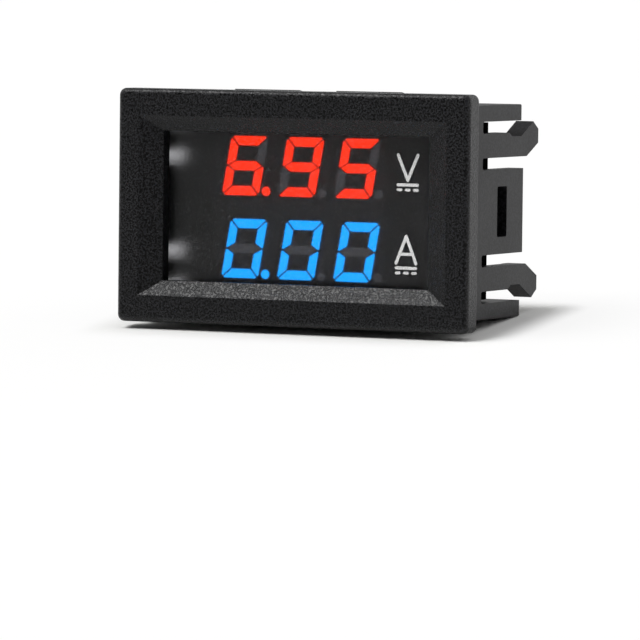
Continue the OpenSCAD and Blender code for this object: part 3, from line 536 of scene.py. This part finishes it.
def solidsOf(name):  # the points of each separate solid of a part, in millimetres
    sheet = bmesh.new()
    sheet.from_mesh(nodes[name].data)
    bmesh.ops.remove_doubles(sheet, verts=sheet.verts, dist=0.001 * mm)
    left = set(sheet.verts)
    found = []
    while left:
        stack = [left.pop()]
        points = []
        while stack:
            vert = stack.pop()
            points.append(vert.co / mm)
            for edge in vert.link_edges:
                other = edge.other_vert(vert)
                if other in left:
                    left.discard(other)
                    stack.append(other)
        found.append(points)
    sheet.free()
    return sorted((boxOf(points), points) for points in found)


def boxOf(points):  # x0, z0, x1, z1
    return [f(p[i] for p in points) for f in (min, max) for i in (0, 2)]


def middleOf(box):
    return (box[0] + box[2]) / 2, (box[1] + box[3]) / 2


def outlineBox(name):  # a part's x0, z0, x1, z1 in millimetres
    low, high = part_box(name)
    return low.x / mm, low.z / mm, high.x / mm, high.z / mm


def feetOf(name):  # the rectangles where a part's solids stand on the board
    feet = []
    for box, points in solidsOf(name):
        standing = [p for p in points if abs(p.y - boardBack / mm) < 0.02]
        if standing:
            feet.append(boxOf(standing))
    return feet


# Unit signs, screen printed on the window's face
signs = {
    "strokeMm": 0.4,
    "barMm": 0.38,
    "dashMm": 0.35,
    "inkMm": 0.03,          # thickness of the print
    "inkStepMm": 0.002,     # no two strokes end at the same height
    "wideMm": 2.68,         # width of a letter between its strokes' ends
    "barWideMm": 2.62,
    "dashLongMm": 0.42,
    "voltPlace": (14.6, 6.98, 3.9),         # centre, top and foot of the V
    "ampPlace": (14.48, -2.95, -6.25),      # and of the A
    "barDropMm": 0.58,      # from a letter's foot to the long bar
    "dashDropMm": 0.61,     # from the long bar to the three dashes
    "crossShare": 0.66,     # how far down the A its crossbar lies
}


# screen-printed ink: white, matt, with a slightly broken tone
printInk = grainedFinish("screen_printed_white_ink", "#f4f4f4", "#ffffff", 0.25, 0.002, (0.5, 0.6), 1.5)


def buildSign(name, centre, foot, letter):  # a letter over the direct-current bars
    sheet = bmesh.new()
    bar = foot - signs["barDropMm"]
    dashes = bar - signs["dashDropMm"]
    half, dash = signs["barWideMm"] / 2, signs["dashLongMm"] / 2
    strokes = letter + [((centre - half, bar), (centre + half, bar), signs["barMm"])]
    for shift in (-1, 0, 1):
        place = centre + shift * (half - dash)
        strokes.append(((place - dash, dashes), (place + dash, dashes), signs["dashMm"]))
    for i, (a, b, width) in enumerate(strokes):
        outline = strokeOutline(a, b, width)
        height = (signs["inkMm"] + signs["inkStepMm"] * i) * mm
        loft(sheet, outline, outline, windowFront, windowFront - height)
    newPiece(name, sheet, printInk)


def buildSigns():
    half, stroke = signs["wideMm"] / 2, signs["strokeMm"]
    centre, top, foot = signs["voltPlace"]
    buildSign("volt_sign", centre, foot, [
        ((centre - half, top), (centre, foot), stroke),
        ((centre + half, top), (centre, foot), stroke)])
    centre, top, foot = signs["ampPlace"]
    cross = top + (foot - top) * signs["crossShare"]
    reach = half * signs["crossShare"]
    buildSign("amp_sign", centre, foot, [
        ((centre - half, foot), (centre, top), stroke),
        ((centre + half, foot), (centre, top), stroke),
        ((centre - reach, cross), (centre + reach, cross), signs["barMm"])])


buildSigns()
print("signs printed")


# The back of the board: tracks under the mask, pads, plated holes and a printed legend
board = {
    "trackMm": 0.035,       # height of the copper under the mask
    "trackStepMm": 0.0004,  # no two tracks end at the same height
    "linkMm": 2,            # the longest link from a chip's lead to a display's pin
    "thinMm": 0.28,         # widths of a signal track, a ground track and a supply track
    "groundMm": 0.5,
    "wideMm": 0.8,
    "capacitorEndMm": 0.8,  # from a chip capacitor's middle to where a track meets its pad
    "resistorEndMm": 0.7,   # and from a chip resistor's, on the supply side of it and on the other
    "resistorTailMm": 0.6,
    "legInMm": (0.4, 0.2),  # from the corner of a trimmer's terminals to the middle of one
    "padMm": 0.07,          # height of solder on a pad
    "padRimMm": 0.14,       # how far a pad shows round a lead
    "viaMm": 0.32,          # radius of a plated hole's ring
    "viaBoreMm": 0.14,
    "viaRiseMm": 0.02,      # how far it stands above the tracks
    "pourDropMm": 0.004,    # how far the broad copper lies below them
    "pourLeftMm": 8.9,      # where the broad copper and the bars on it begin, left of the shunt
    "barLeftMm": 11.6,
    "barCount": 3,          # bars of solder that thicken the current path
    "barPitchMm": 0.62,
    "barFootMm": 0.34,
    "barCrownMm": 0.16,
    "barRiseMm": 0.12,
    "sightMm": 0.4,         # radius of a sighting mark
    "sightRiseMm": 0.04,
}

trackFinish = laminate("masked_copper_track", "#2b3230", "#373f3d", "#2b3230")
# baked legend ink: off-white and matt
legendInk = grainedFinish("printed_legend_ink", "#dcdcd8", "#ededea", 0.2, 0.002, (0.5, 0.6), 1.5)
chips = ("microcontroller", "amplifier")
footNodes = ("microcontroller_leads", "amplifier_leads", "regulator_leads", "protection_diode_leads",
             "voltage_trimmer_terminals", "current_trimmer_terminals",
             "chip_capacitor_ends", "chip_resistor_ends")


def middlesOf(name):  # the middle of each of a part's solids, from left to right
    return [middleOf(box) for box, points in solidsOf(name)]


def heightOf(place):
    return place[1]


def bent(a, b):  # from a to b, part of the way along one axis and part at 45 degrees
    dx, dz = b[0] - a[0], b[1] - a[1]
    slant = min(abs(dx), abs(dz))
    if abs(dz) >= abs(dx):
        corner = (a[0], b[1] - math.copysign(slant, dz))
    else:
        corner = (a[0] + dx - math.copysign(slant, dx), a[1])
    return [a, corner, b] if math.dist(a, corner) > 0.05 and math.dist(corner, b) > 0.05 else [a, b]


def planTracks():  # every track as its width and points, and where the plated holes are
    tracks, holes = [], []
    thin, wide = board["thinMm"], board["wideMm"]
    capEnd, resEnd, resTail = (board[k] for k in ("capacitorEndMm", "resistorEndMm", "resistorTailMm"))
    legX, legZ = board["legInMm"]

    # a track by its moves from a pad, with a plated hole past its end
    def lay(width, start, *moves, hole=None):
        points = [start]
        for dx, dz in moves:
            points.append((points[-1][0] + dx, points[-1][1] + dz))
        tracks.append((width, points))
        if hole:
            holes.append((points[-1][0] + hole[0], points[-1][1] + hole[1]))

    # short links from the chips' leads to the displays' pins
    displayPins = middlesOf("voltage_display_pins") + middlesOf("current_display_pins")
    for node in ("microcontroller_leads", "amplifier_leads"):
        feet = [middleOf(foot) for foot in feetOf(node)]
        for foot in feet:
            pin = min(displayPins, key=lambda p: math.dist(p, foot))
            nearest = min(feet, key=lambda f: math.dist(f, pin))
            if nearest == foot and math.dist(pin, foot) < board["linkMm"]:
                tracks.append((thin, bent(foot, pin)))

    # the displays' pins in their columns
    columns, rows = (sorted({round(pin[i], 3) for pin in displayPins}) for i in (0, 1))
    for i, x in enumerate(columns):
        tracks.append((thin, [(x, rows[1]), (x, rows[2])]))
        if i in (0, 1, 2, 4):
            tracks.append((thin, [(x, rows[0]), (x, rows[1])]))

    # from the supply header to its capacitors and resistors
    capacitors = sorted(middlesOf("chip_capacitors"))
    corner = capacitors[0]
    lower, upper = sorted(capacitors[1:3], key=heightOf)
    resistors = sorted(middlesOf("chip_resistors"))
    bank, pair, single = resistors[:4], resistors[4:6], resistors[6]
    (x, z), middlePin = sorted(middlesOf("supply_header_pins"), key=heightOf)[:2]
    tracks.append((wide, [(x, z), (lower[0] - 1.2, z), (lower[0], z - 1.2), (lower[0], lower[1] + capEnd)]))
    lay(board["groundMm"], (lower[0], lower[1] - capEnd), (0, -0.9), (0.8, -0.8), (3, 0), (0.7, 0.7))
    lay(thin, middlePin, (upper[0] - 1.4 - middlePin[0], 0), (1, 1), (1.6, 0), hole=(0.1, 0))
    lay(thin, (upper[0], upper[1] - capEnd), (0, -1.2), (0.6, -0.6), (1, 0), hole=(0.1, 0))
    for x, z in bank:
        lay(thin, (x, z + resEnd), (0, 1.05), hole=(0, 0.1))
    x, z = bank[0]
    tracks.append((thin, [(x, z - resTail), (x, z - 1.4), (x + 0.4, z - 1.8), (corner[0] - 0.9, z - 1.8),
                          (corner[0], corner[1] - capEnd)]))
    for x, z in bank[1:]:
        lay(thin, (x, z - resTail), (0, -1.2))

    # the voltage trimmer
    x0, z0, x1, z1 = outlineBox("voltage_trimmer_terminals")
    lay(thin, (x0 + legX, z0 + legZ), (0, -0.45), hole=(0, -0.15))
    x, z = x1 - legX, z0 + legZ
    tracks.append((thin, [(x, z), (x, z - 0.4), (x + 0.2, z - 0.6), (upper[0] - 1.6, z - 0.6),
                          (upper[0], upper[1] + capEnd)]))

    # the current trimmer, its resistors and the shunt
    rightLow, rightUp = sorted(capacitors[3:], key=heightOf)
    tracks.append((thin, [(rightUp[0], rightUp[1] + capEnd), (pair[0][0], pair[0][1] + resEnd)]))
    x, z = pair[0]
    lay(thin, (x, z - resEnd), (0, -1.2), (-0.8, -0.8), (-2.6, 0), (-0.7, 0.7), hole=(-0.1, 0.1))
    x0, z0, x1, z1 = outlineBox("current_trimmer_terminals")
    leg = (x0 + legX, z0 + legZ)
    x, z = pair[1]
    tracks.append((thin, [(x, z - resEnd), (x, z - 1.5), (x + 0.7, z - 2.2), (leg[0] - 0.6, z - 2.2), leg]))
    tracks.append((thin, [(x, z + resEnd), (x + 0.6, z + 1.3), (leg[0] + 0.2, z + 1.3),
                          ((x0 + x1) / 2, z1 - legZ)]))
    tracks.append((thin, bent((x1 - legX, z0 + legZ), (single[0], single[1] + resTail))))
    shuntTop = outlineBox("shunt_wire")[3]
    tracks.append((thin, [(single[0], single[1] - resTail), (single[0], shuntTop - 0.4)]))
    lay(thin, (rightUp[0], rightUp[1] - capEnd), (0, -0.5), (-0.6, -0.6), (-1, 0), hole=(-0.1, 0))
    lay(thin, (rightLow[0], rightLow[1] + capEnd), (0, 1.2), (-0.6, 0.6), (-1.8, 0), hole=(-0.1, 0))
    return tracks, holes


def buildTracks(tracks):
    sheet = bmesh.new()
    for i, (width, points) in enumerate(tracks):
        top = boardBack + (board["trackMm"] + board["trackStepMm"] * i) * mm
        ribbon(sheet, points, width, boardBack, top)
    x0, z0, x1, z1 = outlineBox("shunt_wire")
    left = board["pourLeftMm"]
    pours = [  # the broad copper at each end of the shunt
        [(x0 - 2.6, z1 + 1.9), (x0 - 2.6, z1 - 1.2), (x0 - 1.6, z1 - 2.0), (x1 + 0.6, z1 - 2.0),
         (x1 + 0.9, z1 - 1.6), (x1 + 0.9, z1 + 1.6), (x1 + 0.6, z1 + 1.9)],
        [(left, z0 - 1.0), (x1 + 0.6, z0 - 1.0), (x1 + 0.9, z0 - 0.7), (x1 + 0.9, z0 + 2.0),
         (x1 + 0.6, z0 + 2.3), (x0 - 0.4, z0 + 2.3), (x0 - 1.9, z0 + 0.8), (left, z0 + 0.8)],
    ]
    for outline in pours:
        loft(sheet, outline, outline, boardBack, boardBack + (board["trackMm"] - board["pourDropMm"]) * mm)
    newPiece("copper_tracks", sheet, trackFinish)


def buildPads(holes):
    sheet = bmesh.new()
    rim, top = board["padRimMm"], boardBack + board["padMm"] * mm
    for node in footNodes:
        for x0, z0, x1, z1 in feetOf(node):
            foot, crown = (rectOutline(x0 - r, z0 - r, x1 + r, z1 + r) for r in (rim, rim / 3))
            loft(sheet, foot, crown, boardBack, top)
    for box, points in solidsOf("solder_joints"):
        if max(p.y for p in points) > boardBack / mm + 0.1:  # a joint on this face
            radius = (box[2] - box[0]) / 2
            foot, crown = (discOutline(*middleOf(box), radius + r, 28) for r in (rim, rim / 2))
            loft(sheet, foot, crown, boardBack, top)
    for x, z in holes:
        top = boardBack + (board["trackMm"] + board["viaRiseMm"]) * mm
        washer(sheet, x, z, board["viaMm"], board["viaBoreMm"], boardBack, top)
    x0, z0, x1, z1 = outlineBox("shunt_wire")
    for k in range(board["barCount"]):
        z = z0 - 0.55 + board["barPitchMm"] * k
        foot, crown = (strokeOutline((board["barLeftMm"], z), (x0 - 1.9, z), board[width])
                       for width in ("barFootMm", "barCrownMm"))
        loft(sheet, foot, crown, boardBack, boardBack + board["barRiseMm"] * mm)
    sights = ((boardLow.x / mm + 2.7, boardHigh.z / mm - 1.3), (7.3, boardLow.z / mm + 1.0))
    for x, z in sights:
        disc = discOutline(x, z, board["sightMm"])
        loft(sheet, disc, disc, boardBack, boardBack + board["sightRiseMm"] * mm)
    newPiece("board_pads", sheet, finishes["solder"])


legend = {
    "lineMm": 0.15,
    "riseMm": 0.05,
    "lineStepMm": 0.0002,   # no two lines end at the same height
    "loopStepMm": 0.0006,
    "gapMm": 0.24,          # from a small part to its line
    "hookMm": 0.3,          # the short ends of a chip's brackets
    "diodeOverMm": 0.5,     # how far the diode's lines run past its body
    "headerGapMm": 0.35,
    "trimmerGapMm": (0.3, 0.55),
    "shuntGapMm": 0.75,
    "shuntShortMm": 1.4,    # how far the shunt's lines stop short of its ends
    "dotMm": 0.2,           # radius of the dot by a chip's first lead
    "dotPlaceMm": (0.45, 0.3),
}


def buildLegend():
    sheet = bmesh.new()
    gap, hook = legend["gapMm"], legend["hookMm"]
    lines, loops, dots = [], [], []
    for name in chips:
        x0, z0, x1, z1 = outlineBox(name + "_body")
        x0, x1 = x0 - gap, x1 + gap
        lines.append([(x0 + hook, z1), (x0, z1), (x0, z0), (x0 + hook, z0)])
        lines.append([(x1 - hook, z1), (x1, z1), (x1, z0), (x1 - hook, z0)])
        dots.append((x0 - legend["dotPlaceMm"][0], z0 - legend["dotPlaceMm"][1]))
    x0, z0, x1, z1 = outlineBox("regulator_body")
    lines += [[(x, z0), (x, z1)] for x in (x0 - gap, x1 + gap)]
    x0, z0, x1, z1 = outlineBox("protection_diode_body")
    over = legend["diodeOverMm"]
    lines += [[(x0 - over, z), (x1 + over, z)] for z in (z0 - gap, z1 + gap)]
    for node in ("chip_capacitors", "chip_resistors"):
        for (x0, z0, x1, z1), points in solidsOf(node):
            lines += [[(x, z0), (x, z1)] for x in (x0 - gap, x1 + gap)]
    headerGap = (legend["headerGapMm"],) * 2
    for node, (sideGap, endGap) in (
            ("supply_header_shroud", headerGap), ("current_header_base", headerGap),
            ("voltage_trimmer_base", legend["trimmerGapMm"]),
            ("current_trimmer_base", legend["trimmerGapMm"])):
        x0, z0, x1, z1 = outlineBox(node)
        loops.append(rectOutline(x0 - sideGap, z0 - endGap, x1 + sideGap, z1 + endGap))
    x0, z0, x1, z1 = outlineBox("shunt_wire")
    aside, short = legend["shuntGapMm"], legend["shuntShortMm"]
    lines += [[(x, z0 + short), (x, z1 - short)] for x in (x0 - aside, x1 + aside)]
    rise, width = legend["riseMm"], legend["lineMm"]
    for i, points in enumerate(lines):
        ribbon(sheet, points, width, boardBack, boardBack + (rise + legend["lineStepMm"] * i) * mm)
    for i, points in enumerate(loops):
        top = boardBack + (rise - legend["loopStepMm"] * (i + 1)) * mm
        ribbon(sheet, points, width, boardBack, top, closed=True)
    for x, z in dots:
        disc = discOutline(x, z, legend["dotMm"], 16)
        loft(sheet, disc, disc, boardBack, boardBack + rise * mm)
    newPiece("board_legend", sheet, legendInk)


chipMarks = {
    "dimpleMm": 0.34,       # radius of the dimple by a chip's first lead
    "dimpleInsetMm": 0.75,
    "bandMm": 0.55,         # width of the diode's band
    "bandInsetMm": 0.5,
    "riseMm": 0.006,
}

# the same epoxy against a polished pin of the mould: darker and glossy
polishedEpoxy = grainedFinish("polished_moulded_epoxy", "#101012", "#161618", 0.3, 0.001, (0.12, 0.2), 1.55)


def buildChipMarks():
    rise, inset = chipMarks["riseMm"] * mm, chipMarks["dimpleInsetMm"]
    sheet = bmesh.new()
    for name in chips:
        x0, z0, x1, z1 = outlineBox(name + "_body")
        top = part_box(name + "_body")[1].y
        disc = discOutline(x0 + inset, z0 + inset, chipMarks["dimpleMm"], 24)
        loft(sheet, disc, disc, top, top + rise)
    newPiece("chip_dimples", sheet, polishedEpoxy)
    sheet = bmesh.new()
    x0, z0, x1, z1 = outlineBox("protection_diode_body")
    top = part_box("protection_diode_body")[1].y
    x = x1 - chipMarks["bandInsetMm"]
    band = rectOutline(x - chipMarks["bandMm"], z0, x, z1)
    loft(sheet, band, band, top, top + rise)
    newPiece("diode_band", sheet, legendInk)


tracks, holes = planTracks()
buildTracks(tracks)
buildPads(holes)
print("board etched:", len(tracks), "tracks,", len(holes), "plated holes")
buildLegend()
buildChipMarks()
print("board detail ready")
